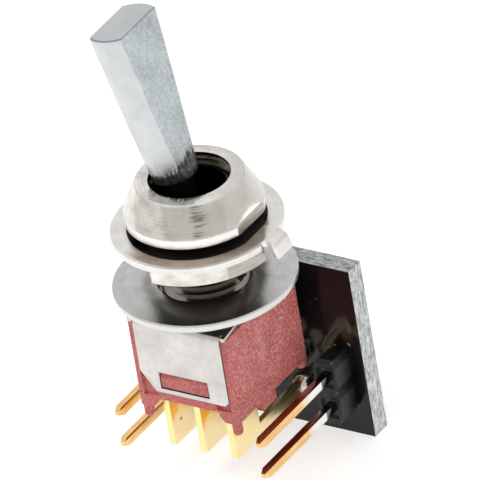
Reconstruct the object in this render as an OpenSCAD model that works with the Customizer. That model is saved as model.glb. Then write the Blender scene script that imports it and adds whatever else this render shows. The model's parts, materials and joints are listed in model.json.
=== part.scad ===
// Sub-miniature two-pole toggle switch on a small board with two pin headers.
// Origin: on the bushing's axis, at the top face of the large flat washer.
// +Z runs up the bushing, +Y back to the board, and the lever swings in the XZ plane.

/* [Bushing] */
// Crest radius of the bushing's thread
thread_r = 3.175; // [3.1:0.025:3.25]
// Depth of the thread's grooves
thread_depth = 0.375; // [0.3:0.025:0.4]
// Pitch of the thread
thread_pitch = 0.635; // [0.5:0.005:0.7]
// Height of the bushing's rim above the flat washer
bushing_top = 7.25; // [7:0.05:7.4]
// Radius of the bore that holds the lever's ball
bore_r = 2.15; // [2.13:0.01:2.2]

/* [Lever] */
// Height of the lever's pivot above the flat washer
pivot_z = 2.1; // [2:0.05:2.2]
// Whole swing of the lever from side to side, in degrees
throw = 22; // [16:0.5:22]
// Length of the lever above its pivot
lever_length = 18.23; // [14:0.01:20]
// Radius of the lever's blank at its top
lever_top_r = 2.6; // [2.2:0.01:2.7]
// Radius of the lever's blank just above its shoulder
lever_base_r = 1.65; // [1.5:0.01:1.66]
// Thickness of the lever across its two flats
lever_across_flats = 2.7; // [2.4:0.05:3]

/* [Nuts and washers] */
// Radius of the flat washer
washer_r = 6.5; // [6:0.01:6.6]
// Thickness of the flat washer
washer_t = 0.59; // [0.5:0.01:0.7]
// Radius of the back nut
back_nut_r = 5.9; // [5:0.05:6]
// Width of the back nut across its two flats
back_nut_across = 8; // [7.5:0.1:9]
// Height of the back nut's lower face
back_nut_bottom = 2.69; // [2.5:0.01:2.8]
// Thickness of the back nut
back_nut_t = 1.27; // [1.2:0.01:1.35]
// Radius of the locking ring
ring_r = 6.08; // [5.8:0.01:6.2]
// Thickness of the locking ring
ring_t = 0.45; // [0.4:0.01:0.5]
// Width of the locking ring's bent tab
tab_w = 1.7; // [1.4:0.05:2]
// Height of the dress nut's lower face
dress_nut_bottom = 5.2; // [5.15:0.01:5.3]
// Height of the dress nut
dress_nut_h = 2.98; // [2.9:0.01:3]
// Radius of the dress nut at its lip
dress_nut_r = 4.95; // [4.8:0.01:5.1]
// Radius of the dress nut's flat top
dress_nut_top_r = 3.89; // [3.7:0.01:4]
// Width of the dress nut across its two wrench flats
dress_nut_across = 9.3; // [9:0.05:9.6]

/* [Body] */
// Width of the housing
housing_w = 8; // [7.9:0.05:8.2]
// Depth of the housing from front to back
housing_d = 9.06; // [9:0.02:9.2]
// Height of the housing's top, where the strap lies on it
housing_top = -1.95; // [-2:0.01:-1.9]
// Height of the housing's underside
housing_bottom = -8.83; // [-9:0.01:-8.8]
// Width of the frame strap's two legs
strap_w = 7.1; // [6.8:0.02:7.2]
// Thickness of the frame strap
strap_t = 0.28; // [0.25:0.01:0.29]
// Height of the strap's lower end
strap_bottom = -7.37; // [-7.5:0.01:-7.3]

/* [Terminals and board] */
// Distance between neighbouring terminals, and between header pins
pitch = 2.54; // [2.5:0.01:2.6]
// Thickness of a terminal blade
blade_t = 0.48; // [0.4:0.01:0.5]
// Half the width of the board
board_half_w = 7.63; // [7.4:0.01:8]
// Height of the board's upper edge
board_top = -1.9; // [-2:0.05:-1.8]
// Height of the board's lower edge
board_bottom = -15.6; // [-16:0.05:-15]
// Front face of the board behind the bushing's axis
board_y = 5.95; // [5.9:0.01:6.1]
// Thickness of the board
board_t = 1.55; // [1.5:0.05:1.7]
// Side-to-side place of each header
header_x = 5.8; // [5.7:0.01:5.9]
// Front end of the header pins
pin_tip_y = -5.11; // [-5.5:0.01:-4.5]

/* [Hidden] */
$fn = 72;
hair = 0.02;
thread_gap = 0.06;
thread_root_r = thread_r - thread_depth;

// The bushing's lower end, its pin slots and its keyway
shoulder_r = 4.2;
spigot_r = 2.6;
throat_r = 1.75;
throat_bottom = 4;
throat_top = 4.45;
mouth_r = 2.5;
rim_chamfer = 0.2;
slot_reach = 2.6;
keyway_w = 0.9;
keyway_floor = 2.72;

// The lever's hidden end, in its own frame with the pivot at the origin
ball_r = 2.1;
neck_r = 1.1;
shoulder_s = 5.95;
flat_start_s = 6.35;
flat_slope = 0.5;
lever_end_chamfer = 0.15;
stub_r = 0.78;
stub_bottom = -6;
pivot_pin_r = 0.4;
pivot_pin_length = 5.1;
running_gap = 0.04;

// The rubber ring on the ball
seal_wire_r = 0.3;
seal_r = bore_r - seal_wire_r - hair;
seal_z = pivot_z + sqrt(pow(ball_r + seal_wire_r + hair, 2) - pow(seal_r, 2));

// The actuator and its plungers, in the lever's frame
actuator_top = -4.9;
actuator_bottom = -6.9;
actuator_half_x = 1.1;
actuator_half_y = 3.05;
pole_y = 2.2;
plunger_r = 0.7;
plunger_bore_r = plunger_r + 0.05;
plunger_bore_top = -5.2;
plunger_top = -6.2;
plunger_reach = 0.15;
tip_r = 0.45;
tip_centre = -7.15;
spring_wire_r = 0.09;
spring_r = 0.52;
spring_turns = 3;
spring_sides = 8;
spring_steps = 16;

// The see-saw contacts
rocker_z = -5.8;
rocker_tilt = 8;
rocker_t = 0.25;
rocker_w = 1.5;
rocker_flat_half = 0.8;
rocker_wing_x = 1.6;
rocker_wing_rise = 0.443;
rocker_end_x = 3;
dimple_r = 0.4;
dimple_h = 0.15;

// The nuts and washers
washer_hole_r = 3.4;
washer_shift = [-0.08, -0.05];
edge_chamfer = 0.1;
back_nut_turn = 40.5;
back_nut_top = back_nut_bottom + back_nut_t;
ring_bottom = back_nut_top;
ring_top = ring_bottom + ring_t;
ring_hole_r = thread_r + 0.05;
tab_y = 0.28;
tab_bend_x = 6.12;
tab_bend_r = 0.6;
tab_angle = 70;
tab_length = 0.85;
tab_root = 1;
notch_r = 0.3;
tongue_gap = 0.08;
tongue_root = 0.2;
lip_h = 0.74;
nut_mouth_r = 2.9;
nut_mouth_h = 0.26;

// The housing and the strap
corner_r = 0.1;
strap_y = 4.61;
strap_bend_r = 0.45;
strap_top = housing_top + strap_t;
strap_room = 0.05;
ear_gap = 0.08;
waist_x = 3.75;
waist_y = 2.4;
bend_relief = 0.14;
recess_y = strap_y - strap_t - 0.03;
ledge_top = -7.9;
tongue_half = 2.4;
cavity_x = 3.2;
cavity_y = 3.75;
divider_half = 0.25;
divider_top = -6;
floor_top = -7.4;
floor_bottom = -8.05;
underside_x = 3.15;
gate_half = 2.5;
gate_mid_half = 2.58;
gate_mid_z = -8.4;
gate_foot_half = 2.95;
window_half = 2;
window_top = -5.71;
window_bottom = -7.03;
latch_gap = 0.1;
latch_rise = 0.26;
latch_root = 0.1;
big_chamfer_x = 1.12;
big_chamfer_z = 1.53;
small_chamfer = 0.35;
foot_r = 0.36;
foot_bottom = -9.9;
nub_bottom = -9.6;
nub_y = -0.5;
nub_half = 0.8;

// The terminals
blade_front = 3.65;
blade_back = 0.44;
shank_y = 2.15;
shank_half = 1.05;
shank_rise = 0.3;
post_half = 0.75;
leg_h = 1.1;
front_leg_z = -12;
leg_end = board_y + board_t + 0.8;
tip_chamfer = 0.12;
pad_half_x = 0.6;
pad_h = 0.3;
pad_top = -5.9;
centre_top = rocker_z - 0.04;

// The board, the headers and the solder
pin_w = 0.64;
pin_room = 0.02;
pin_taper = 0.5;
pin_tip_w = 0.3;
pin_end_y = board_y + board_t + 1.4;
header_half_w = 0.9;
header_depth = 2.2;
header_corner_x = 0.35;
header_corner_z = 0.45;
foot_depth = 0.4;
foot_inset = 0.15;
pocket_half_w = 0.62;
pocket_half_h = 0.8;
pocket_depth = 0.35;
upper_pin_z = -9.71;
pin_hole_r = 0.5;
leg_hole_r = 0.64;
dome_r = 0.85;
dome_h = 1.15;
cone_r = 0.8;
cone_h = 0.9;
cone_top_r = 0.42;
cone_flare = 0.5;

SIDES = [-1, 1];
COLUMNS = [-pitch, 0, pitch];
LEG_HEIGHTS = [front_leg_z, front_leg_z + pitch];
PIN_HEIGHTS = [upper_pin_z, upper_pin_z - pitch];

// Radius of the thread's outline at height z: a groove at each whole pitch above the washer's foot
function thread_phase(z) = (z + washer_t) / thread_pitch - floor((z + washer_t) / thread_pitch);
function thread_radius(z) = thread_root_r + thread_depth * (1 - abs(2 * thread_phase(z) - 1));

// Points up the thread's outline between two heights, set out by a gap
function thread_line(z_low, z_high, gap) = let (
    half = thread_pitch / 2,
    first = floor((z_low + washer_t) / half + 0.01) + 1,
    last = ceil((z_high + washer_t) / half - 0.01) - 1
) concat(
    [[thread_radius(z_low) + gap, z_low]],
    [for (k = [first : last]) [thread_radius(k * half - washer_t) + gap, k * half - washer_t]],
    [[thread_radius(z_high) + gap, z_high]]
);

function reversed(points) = [for (i = [len(points) - 1 : -1 : 0]) points[i]];

// Extrudes an outline drawn in Y and Z along X, centred on X = 0
module along_x(length) {
    translate([-length / 2, 0, 0])
        rotate([90, 0, 90])
            linear_extrude(length) children();
}

// Extrudes an outline drawn in X and Z along Y, from y_low to y_high
module along_y(y_low, y_high) {
    translate([0, y_high, 0])
        rotate([90, 0, 0])
            linear_extrude(y_high - y_low) children();
}

// A cylinder along Y, from y_low to y_high
module rod_y(r, y_low, y_high) {
    along_y(y_low, y_high) circle(r);
}

// A box between two corners
module box(low, high) {
    translate(low) cube(high - low);
}

// An upright block with its four upright edges rounded
module rounded_block(half_x, half_y, r, z_low, z_high) {
    translate([0, 0, z_low])
        linear_extrude(z_high - z_low) {
            square([2 * (half_x - r), 2 * half_y], center = true);
            square([2 * half_x, 2 * (half_y - r)], center = true);
            for (x = SIDES, y = SIDES)
                translate([x * (half_x - r), y * (half_y - r)]) circle(r);
        }
}

// Places what is drawn in the lever's frame at the lever's resting end of its swing
module on_lever() {
    translate([0, 0, pivot_z])
        rotate([0, -throw / 2, 0]) children();
}

// ---- Lever and what moves with it ----

module lever_turned() {
    rotate_extrude()
        polygon([
            [0, 0],
            [neck_r, 0],
            [neck_r, shoulder_s],
            [lever_base_r - edge_chamfer, shoulder_s],
            [lever_base_r, shoulder_s + edge_chamfer],
            [lever_top_r, lever_length - lever_end_chamfer],
            [lever_top_r - lever_end_chamfer, lever_length],
            [0, lever_length]
        ]);
    sphere(ball_r);
    translate([0, 0, stub_bottom]) cylinder(r = stub_r, h = -stub_bottom);
}

module lever_flat_cut() {
    half = lever_across_flats / 2;
    along_y(-lever_top_r - 1, lever_top_r + 1)
        polygon([
            [half, flat_start_s + flat_slope],
            [half + flat_slope, flat_start_s],
            [2 * lever_top_r, flat_start_s],
            [2 * lever_top_r, lever_length + 1],
            [half, lever_length + 1]
        ]);
}

module lever() {
    color("#d8dcde") on_lever() difference() {
        lever_turned();
        lever_flat_cut();
        mirror([1, 0, 0]) lever_flat_cut();
        rod_y(pivot_pin_r, -ball_r - 1, ball_r + 1);
    }
}

module pivot_pin() {
    color("#b8b8b4") on_lever() rod_y(pivot_pin_r, -pivot_pin_length / 2, pivot_pin_length / 2);
}

module actuator() {
    color("#e8e6dc") on_lever() difference() {
        rounded_block(actuator_half_x, actuator_half_y, corner_r, actuator_bottom, actuator_top);
        translate([0, 0, stub_bottom]) cylinder(r = stub_r, h = actuator_top - stub_bottom + 1);
        for (side = SIDES)
            translate([0, side * pole_y, actuator_bottom - 1])
                cylinder(r = plunger_bore_r, h = plunger_bore_top - actuator_bottom + 1);
    }
}

module plunger(side) {
    color("#f2efe6") on_lever() translate([0, side * pole_y, 0]) {
        plunger_tip();
        translate([0, 0, actuator_bottom - plunger_reach])
            cylinder(r = plunger_r, h = plunger_top - actuator_bottom + plunger_reach);
    }
}

module plunger_tip() {
    translate([0, 0, tip_centre]) {
        sphere(tip_r);
        cylinder(r = tip_r, h = plunger_top - tip_centre);
    }
}

module plunger_front() {
    plunger(-1);
}

module plunger_rear() {
    plunger(1);
}

// One point on the skin of the spring's wire: step along the coil, then corner around the wire
function spring_point(step, corner) = let (
    turn = 360 * step / spring_steps,
    around = 360 * corner / spring_sides,
    last = spring_steps * spring_turns,
    low = plunger_top + spring_wire_r,
    rise = (plunger_bore_top - plunger_top - 2 * spring_wire_r) * step / last,
    r = spring_r + spring_wire_r * cos(around)
) [r * cos(turn), r * sin(turn), low + rise + spring_wire_r * sin(around)];

module spring(side) {
    rings = spring_steps * spring_turns;
    points = [for (i = [0 : rings], j = [0 : spring_sides - 1]) spring_point(i, j)];
    skin = [for (i = [0 : rings - 1], j = [0 : spring_sides - 1]) let (k = (j + 1) % spring_sides)
        [i * spring_sides + j, (i + 1) * spring_sides + j,
         (i + 1) * spring_sides + k, i * spring_sides + k]];
    start_cap = [[for (j = [0 : spring_sides - 1]) j]];
    end_cap = [[for (j = [spring_sides - 1 : -1 : 0]) rings * spring_sides + j]];
    color("#c0c0c0") on_lever() translate([0, side * pole_y, 0])
        polyhedron(points, concat(skin, start_cap, end_cap));
}

module spring_front() {
    spring(-1);
}

module spring_rear() {
    spring(1);
}

// ---- Bushing, seal, nuts and washers ----

module lever_seal() {
    color("#151515") translate([0, 0, seal_z])
        rotate_extrude() translate([seal_r, 0]) circle(seal_wire_r);
}

module bushing_turned() {
    rotate_extrude()
        polygon(concat(
            [[bore_r, housing_top], [spigot_r, housing_top], [spigot_r, strap_top],
             [shoulder_r, strap_top], [shoulder_r, -washer_t]],
            thread_line(-washer_t, bushing_top - rim_chamfer, 0),
            [[thread_root_r, bushing_top], [mouth_r, bushing_top], [throat_r, throat_top],
             [throat_r, throat_bottom], [bore_r, throat_bottom]]
        ));
}

module bushing() {
    color("#b9b5ac") difference() {
        bushing_turned();
        translate([0, 0, pivot_z]) rod_y(pivot_pin_r + running_gap, -slot_reach, slot_reach);
        box([-pivot_pin_r - running_gap, -slot_reach, housing_top - 1],
            [pivot_pin_r + running_gap, slot_reach, pivot_z]);
        box([keyway_floor, -keyway_w / 2, 0], [thread_r + 1, keyway_w / 2, bushing_top + 1]);
    }
}

module dress_nut_turned() {
    top = dress_nut_bottom + dress_nut_h;
    rotate_extrude()
        polygon(concat(
            [[dress_nut_r - edge_chamfer, dress_nut_bottom],
             [dress_nut_r, dress_nut_bottom + edge_chamfer],
             [dress_nut_r, dress_nut_bottom + lip_h],
             [dress_nut_top_r, top - edge_chamfer],
             [dress_nut_top_r - edge_chamfer, top],
             [nut_mouth_r, top],
             [nut_mouth_r, top - nut_mouth_h]],
            reversed(thread_line(dress_nut_bottom, top - nut_mouth_h, thread_gap))
        ));
}

module dress_nut() {
    half = dress_nut_across / 2;
    color("#cfcac0") intersection() {
        dress_nut_turned();
        box([-half, -dress_nut_r, dress_nut_bottom - 1],
            [half, dress_nut_r, dress_nut_bottom + dress_nut_h + 1]);
    }
}

// The tab's side outline: out of the ring, round a bend and down at a slant
module tab_outline() {
    rise = 90 - tab_angle;
    far = 2 * tab_bend_r;
    translate([tab_bend_x, ring_top - tab_bend_r]) {
        translate([-tab_root, tab_bend_r - ring_t]) square([tab_root, ring_t]);
        difference() {
            intersection() {
                circle(tab_bend_r);
                polygon([[0, 0], [far * cos(rise), far * sin(rise)], [far, far], [0, far]]);
            }
            circle(tab_bend_r - ring_t);
        }
        rotate(rise) translate([tab_bend_r - ring_t, -tab_length]) square([ring_t, tab_length]);
    }
}

module locking_ring() {
    key_half = keyway_w / 2 - tongue_gap;
    color("#ddd8ce") {
        difference() {
            translate([0, 0, ring_bottom]) cylinder(r = ring_r, h = ring_t);
            translate([0, 0, ring_bottom - 1]) cylinder(r = ring_hole_r, h = ring_t + 2);
            for (side = SIDES)
                translate([ring_r, tab_y + side * (tab_w / 2 + notch_r), ring_bottom - 1])
                    cylinder(r = notch_r, h = ring_t + 2);
        }
        box([keyway_floor + tongue_gap, -key_half, ring_bottom],
            [ring_hole_r + tongue_root, key_half, ring_top]);
        along_y(tab_y - tab_w / 2, tab_y + tab_w / 2) tab_outline();
    }
}

module back_nut() {
    half = back_nut_across / 2;
    color("#c9c4ba") intersection() {
        rotate_extrude()
            polygon(concat(
                [[back_nut_r - 2 * edge_chamfer, back_nut_bottom],
                 [back_nut_r, back_nut_bottom + 2 * edge_chamfer],
                 [back_nut_r, back_nut_top]],
                reversed(thread_line(back_nut_bottom, back_nut_top, thread_gap))
            ));
        rotate([0, 0, back_nut_turn])
            box([-half, -back_nut_r, back_nut_bottom - 1], [half, back_nut_r, back_nut_top + 1]);
    }
}

module flat_washer() {
    color("#afb0af") translate([washer_shift[0], washer_shift[1], 0]) rotate_extrude()
        polygon([
            [washer_hole_r, -washer_t],
            [washer_r - edge_chamfer, -washer_t],
            [washer_r, edge_chamfer - washer_t],
            [washer_r, -edge_chamfer],
            [washer_r - edge_chamfer, 0],
            [washer_hole_r, 0]
        ]);
}

// ---- Frame strap and housing ----

// A block's outline in Y and Z with its two upper corners rounded
module arch(half_y, top, bottom, r) {
    translate([-half_y, bottom]) square([2 * half_y, top - r - bottom]);
    translate([r - half_y, bottom]) square([2 * (half_y - r), top - bottom]);
    for (side = SIDES)
        translate([side * (half_y - r), top - r]) circle(r);
}

// One leg's cut corners and window, for the leg at -Y
module strap_leg_cuts() {
    half = strap_w / 2;
    along_y(-strap_y - 1, -1) {
        polygon([
            [-half - 1, strap_bottom - 1],
            [-half - 1, strap_bottom + big_chamfer_z],
            [-half, strap_bottom + big_chamfer_z],
            [big_chamfer_x - half, strap_bottom],
            [big_chamfer_x - half, strap_bottom - 1]
        ]);
        polygon([
            [half, strap_bottom + small_chamfer],
            [half + 1, strap_bottom + small_chamfer],
            [half + 1, strap_bottom - 1],
            [half - small_chamfer, strap_bottom - 1],
            [half - small_chamfer, strap_bottom]
        ]);
        translate([-window_half, window_bottom])
            square([2 * window_half, window_top - window_bottom]);
    }
}

// The strap's flat top: four ears out to the housing's corners, and a narrower waist
module strap_plate() {
    half_x = housing_w / 2;
    half_y = housing_d / 2;
    ear_x = strap_w / 2 + ear_gap;
    bend_y = strap_y - strap_bend_r;
    translate([0, 0, housing_top])
        linear_extrude(strap_t)
            polygon([
                [half_x, -half_y], [waist_x, -waist_y], [waist_x, waist_y], [half_x, half_y],
                [ear_x, half_y], [ear_x, bend_y], [-ear_x, bend_y], [-ear_x, half_y],
                [-half_x, half_y], [-waist_x, waist_y], [-waist_x, -waist_y], [-half_x, -half_y],
                [-ear_x, -half_y], [-ear_x, -bend_y], [ear_x, -bend_y], [ear_x, -half_y]
            ]);
}

module frame_strap() {
    color("#e0ddd8") difference() {
        union() {
            along_x(strap_w) difference() {
                arch(strap_y, strap_top, strap_bottom, strap_bend_r);
                arch(strap_y - strap_t, housing_top, strap_bottom - 1, strap_bend_r - strap_t);
            }
            strap_plate();
        }
        translate([0, 0, housing_top - 1]) cylinder(r = spigot_r, h = 2);
        strap_leg_cuts();
        rotate([0, 0, 180]) strap_leg_cuts();
    }
}

module latch() {
    half = window_half - latch_gap;
    along_x(2 * half)
        polygon([
            [-recess_y + latch_root, window_top - latch_gap],
            [-recess_y, window_top - latch_gap],
            [-recess_y - latch_rise, window_top - 4 * latch_gap],
            [-recess_y - latch_rise, window_bottom + latch_gap],
            [-recess_y + latch_root, window_bottom + latch_gap]
        ]);
}

module foot(x, y, bottom) {
    translate([x, y, bottom + foot_r]) {
        sphere(foot_r);
        cylinder(r = foot_r, h = housing_bottom - bottom);
    }
}

// The room for one of the strap's legs, on the -Y face: it rests on a tongue between two deeper pockets
module leg_recess() {
    half = strap_w / 2 + strap_room;
    tongue_top = strap_bottom - strap_room;
    along_y(-housing_d, -recess_y)
        polygon([
            [-half, ledge_top], [-tongue_half, ledge_top], [-tongue_half, tongue_top],
            [tongue_half, tongue_top], [tongue_half, ledge_top], [half, ledge_top],
            [half, housing_top + 1], [-half, housing_top + 1]
        ]);
    translate([0, -recess_y, housing_top])
        rotate([45, 0, 0]) cube([2 * half, bend_relief * sqrt(2), bend_relief * sqrt(2)], center = true);
}

// The hollow under the housing, with a gateway through its front and back walls
module underside() {
    box([-underside_x, -cavity_y, housing_bottom - 1], [underside_x, cavity_y, floor_bottom]);
    along_y(-housing_d, housing_d)
        polygon([
            [-gate_half, floor_bottom], [-gate_mid_half, gate_mid_z], [-gate_foot_half, housing_bottom],
            [-gate_foot_half, housing_bottom - 1], [gate_foot_half, housing_bottom - 1],
            [gate_foot_half, housing_bottom], [gate_mid_half, gate_mid_z], [gate_half, floor_bottom]
        ]);
}

module housing_shell() {
    difference() {
        rounded_block(housing_w / 2, housing_d / 2, corner_r, housing_bottom, housing_top);
        leg_recess();
        rotate([0, 0, 180]) leg_recess();
        for (side = SIDES)
            translate([0, side * (cavity_y + divider_half) / 2, 0])
                box([-cavity_x, (divider_half - cavity_y) / 2, floor_top],
                    [cavity_x, (cavity_y - divider_half) / 2, housing_top + 1]);
        box([-cavity_x, -cavity_y, divider_top], [cavity_x, cavity_y, housing_top + 1]);
        underside();
        for (x = COLUMNS, side = SIDES)
            translate([x, side * shank_y, 0])
                box([-blade_t / 2, -shank_half, floor_bottom - 1],
                    [blade_t / 2, shank_half, floor_top + 1]);
    }
}

module housing() {
    foot_x = housing_w / 2 - foot_r;
    foot_y = housing_d / 2 - foot_r;
    color("#b4524f") {
        housing_shell();
        latch();
        rotate([0, 0, 180]) latch();
        for (x = SIDES) {
            foot(x * foot_x, -foot_y, foot_bottom);
            foot(x * foot_x, foot_y, nub_bottom);
            translate([x * foot_x, nub_y, 0])
                box([-foot_r, -nub_half, nub_bottom], [foot_r, nub_half, housing_bottom]);
        }
    }
}

// ---- Contacts and terminals ----

module rocker(side) {
    line = [
        [-rocker_end_x, rocker_wing_rise], [-rocker_wing_x, rocker_wing_rise],
        [-rocker_flat_half, 0], [rocker_flat_half, 0],
        [rocker_wing_x, rocker_wing_rise], [rocker_end_x, rocker_wing_rise]
    ];
    raised = [for (p = line) p + [0, rocker_t]];
    color("#d9d4c0") translate([0, side * pole_y, rocker_z]) rotate([0, rocker_tilt, 0]) {
        along_y(-rocker_w / 2, rocker_w / 2) polygon(concat(line, reversed(raised)));
        for (x = [-pitch, pitch])
            translate([x, 0, rocker_wing_rise - dimple_h]) cylinder(r = dimple_r, h = dimple_h);
    }
}

module rocker_front() {
    rocker(-1);
}

module rocker_rear() {
    rocker(1);
}

// A terminal at column x. Front ones are drawn at -Y and hang lower than rear ones
module terminal(x, side, leg_z) {
    blade_low = min(side * blade_front, side * blade_back);
    blade_high = max(side * blade_front, side * blade_back);
    leg_low = leg_z - leg_h / 2;
    leg_top = leg_z + leg_h / 2;
    mid = side * pole_y;
    top = x == 0 ? centre_top : pad_top;
    color("#f0cc70") translate([x, 0, 0]) {
        along_x(blade_t) polygon([
            [blade_low, floor_bottom],
            [blade_high, floor_bottom],
            [blade_high, leg_top],
            [leg_end - tip_chamfer, leg_top],
            [leg_end, leg_top - tip_chamfer],
            [leg_end, leg_low + tip_chamfer],
            [leg_end - tip_chamfer, leg_low],
            [blade_low + tip_chamfer, leg_low],
            [blade_low, leg_low + tip_chamfer]
        ]);
        translate([0, side * shank_y, 0])
            box([-blade_t / 2, -shank_half, floor_bottom],
                [blade_t / 2, shank_half, floor_top + shank_rise]);
        box([-blade_t / 2, mid - post_half, floor_top], [blade_t / 2, mid + post_half, top - pad_h / 2]);
        if (x == 0)
            translate([0, mid, top - blade_t / 2]) rod_y(blade_t / 2, -post_half, post_half);
        else
            box([-pad_half_x, mid - post_half, top - pad_h], [pad_half_x, mid + post_half, top]);
    }
}

module terminal_front_left() {
    terminal(-pitch, -1, LEG_HEIGHTS[0]);
}

module terminal_front_centre() {
    terminal(0, -1, LEG_HEIGHTS[0]);
}

module terminal_front_right() {
    terminal(pitch, -1, LEG_HEIGHTS[0]);
}

module terminal_rear_left() {
    terminal(-pitch, 1, LEG_HEIGHTS[1]);
}

module terminal_rear_centre() {
    terminal(0, 1, LEG_HEIGHTS[1]);
}

module terminal_rear_right() {
    terminal(pitch, 1, LEG_HEIGHTS[1]);
}

// ---- Board, headers and solder ----

module circuit_board() {
    color("#1d1a1a") difference() {
        box([-board_half_w, board_y, board_bottom], [board_half_w, board_y + board_t, board_top]);
        for (x = COLUMNS, z = LEG_HEIGHTS)
            translate([x, 0, z]) rod_y(leg_hole_r, board_y - 1, board_y + board_t + 1);
        for (x = SIDES, z = PIN_HEIGHTS)
            translate([x * header_x, 0, z]) rod_y(pin_hole_r, board_y - 1, board_y + board_t + 1);
    }
}

// One moulded cell of a header, an octagon in X and Z
module header_cell(half_w) {
    half_h = pitch / 2;
    end_x = half_w - header_corner_x;
    side_z = half_h - header_corner_z;
    polygon([[-end_x, -half_h], [end_x, -half_h], [half_w, -side_z], [half_w, side_z],
             [end_x, half_h], [-end_x, half_h], [-half_w, side_z], [-half_w, -side_z]]);
}

// Both cells of a header with the holes for their pins
module header_outline(side, half_w) {
    difference() {
        for (z = PIN_HEIGHTS)
            translate([side * header_x, z]) header_cell(half_w);
        for (z = PIN_HEIGHTS)
            translate([side * header_x, z]) square(pin_w + 2 * pin_room, center = true);
    }
}

// A header stands on a narrower foot, and each pin leaves it from a shallow pocket
module header(side) {
    front = board_y - header_depth;
    foot = board_y - foot_depth;
    color("#26282a") difference() {
        union() {
            along_y(front, foot) header_outline(side, header_half_w);
            along_y(foot, board_y) header_outline(side, header_half_w - foot_inset);
        }
        for (z = PIN_HEIGHTS)
            translate([side * header_x, 0, z])
                box([-pocket_half_w, front - 1, -pocket_half_h],
                    [pocket_half_w, front + pocket_depth, pocket_half_h]);
    }
}

module header_left() {
    header(-1);
}

module header_right() {
    header(1);
}

// A square pin's side outline along its length, tapered at its front end
module pin_outline() {
    half = pin_w / 2;
    tip = pin_tip_w / 2;
    polygon([[pin_tip_y, -tip], [pin_tip_y + pin_taper, -half], [pin_end_y, -half],
             [pin_end_y, half], [pin_tip_y + pin_taper, half], [pin_tip_y, tip]]);
}

module header_pin(side, z) {
    color("#e6b35c") translate([side * header_x, 0, z]) intersection() {
        along_x(pin_w) pin_outline();
        translate([0, 0, -pin_w / 2])
            linear_extrude(pin_w) rotate(90) pin_outline();
    }
}

module header_pin_left_upper() {
    header_pin(-1, PIN_HEIGHTS[0]);
}

module header_pin_left_lower() {
    header_pin(-1, PIN_HEIGHTS[1]);
}

module header_pin_right_upper() {
    header_pin(1, PIN_HEIGHTS[0]);
}

module header_pin_right_lower() {
    header_pin(1, PIN_HEIGHTS[1]);
}

// Solder heaped on the board's front, round one terminal leg
module solder_dome() {
    difference() {
        translate([0, board_y, 0]) rotate([90, 0, 0]) rotate_extrude()
            difference() {
                translate([0, dome_h - dome_r]) circle(dome_r);
                translate([-2 * dome_r, -2 * dome_r]) square([2 * dome_r, 4 * dome_r]);
                translate([0, -2 * dome_r]) square([2 * dome_r, 2 * dome_r]);
            }
        box([-blade_t / 2, 0, -leg_h / 2], [blade_t / 2, leg_end, leg_h / 2]);
    }
}

// Solder drawn up to a cone on the board's back, round a leg or a pin of half sizes hx and hz
module solder_cone(hx, hz) {
    difference() {
        translate([0, board_y + board_t, 0]) rotate([-90, 0, 0])
            cylinder(r1 = cone_r, r2 = cone_top_r + (hz - pin_w / 2) * cone_flare, h = cone_h);
        box([-hx, board_y, -hz], [hx, pin_end_y + 1, hz]);
    }
}

module solder_joints() {
    color("#c9c9c4") {
        for (x = COLUMNS, z = LEG_HEIGHTS) {
            translate([x, 0, z]) solder_dome();
            translate([x, 0, z]) solder_cone(blade_t / 2, leg_h / 2);
        }
        for (x = SIDES, z = PIN_HEIGHTS)
            translate([x * header_x, 0, z]) solder_cone(pin_w / 2, pin_w / 2);
    }
}

lever();
pivot_pin();
lever_seal();
bushing();
dress_nut();
locking_ring();
back_nut();
flat_washer();
frame_strap();
housing();
actuator();
plunger_front();
plunger_rear();
spring_front();
spring_rear();
rocker_front();
rocker_rear();
terminal_front_left();
terminal_front_centre();
terminal_front_right();
terminal_rear_left();
terminal_rear_centre();
terminal_rear_right();
circuit_board();
header_left();
header_right();
header_pin_left_upper();
header_pin_left_lower();
header_pin_right_upper();
header_pin_right_lower();
solder_joints();
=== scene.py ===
import json
import math

import bmesh
import bpy
from mathutils import Matrix, Vector


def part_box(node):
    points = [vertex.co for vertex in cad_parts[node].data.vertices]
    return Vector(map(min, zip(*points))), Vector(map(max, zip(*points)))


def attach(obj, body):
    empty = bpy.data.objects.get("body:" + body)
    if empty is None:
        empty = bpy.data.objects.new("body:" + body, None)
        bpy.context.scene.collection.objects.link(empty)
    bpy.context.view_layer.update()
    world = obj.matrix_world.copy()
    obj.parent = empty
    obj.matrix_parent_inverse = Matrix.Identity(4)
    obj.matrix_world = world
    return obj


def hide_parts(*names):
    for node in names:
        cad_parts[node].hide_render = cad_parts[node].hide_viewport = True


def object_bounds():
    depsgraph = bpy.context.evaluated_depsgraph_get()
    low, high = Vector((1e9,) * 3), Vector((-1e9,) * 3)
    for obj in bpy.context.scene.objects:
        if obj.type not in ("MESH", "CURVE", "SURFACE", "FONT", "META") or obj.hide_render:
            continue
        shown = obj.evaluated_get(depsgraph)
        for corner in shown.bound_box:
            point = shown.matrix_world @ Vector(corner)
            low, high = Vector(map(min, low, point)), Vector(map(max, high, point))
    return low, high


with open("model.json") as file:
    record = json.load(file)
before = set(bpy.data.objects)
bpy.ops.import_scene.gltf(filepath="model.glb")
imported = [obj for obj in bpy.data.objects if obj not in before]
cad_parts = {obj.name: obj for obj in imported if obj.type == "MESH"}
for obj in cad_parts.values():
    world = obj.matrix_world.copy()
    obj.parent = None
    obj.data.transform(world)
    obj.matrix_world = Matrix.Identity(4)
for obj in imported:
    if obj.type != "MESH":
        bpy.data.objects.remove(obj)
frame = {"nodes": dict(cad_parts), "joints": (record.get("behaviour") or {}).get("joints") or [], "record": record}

MM = 0.001
cad_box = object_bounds()

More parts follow.
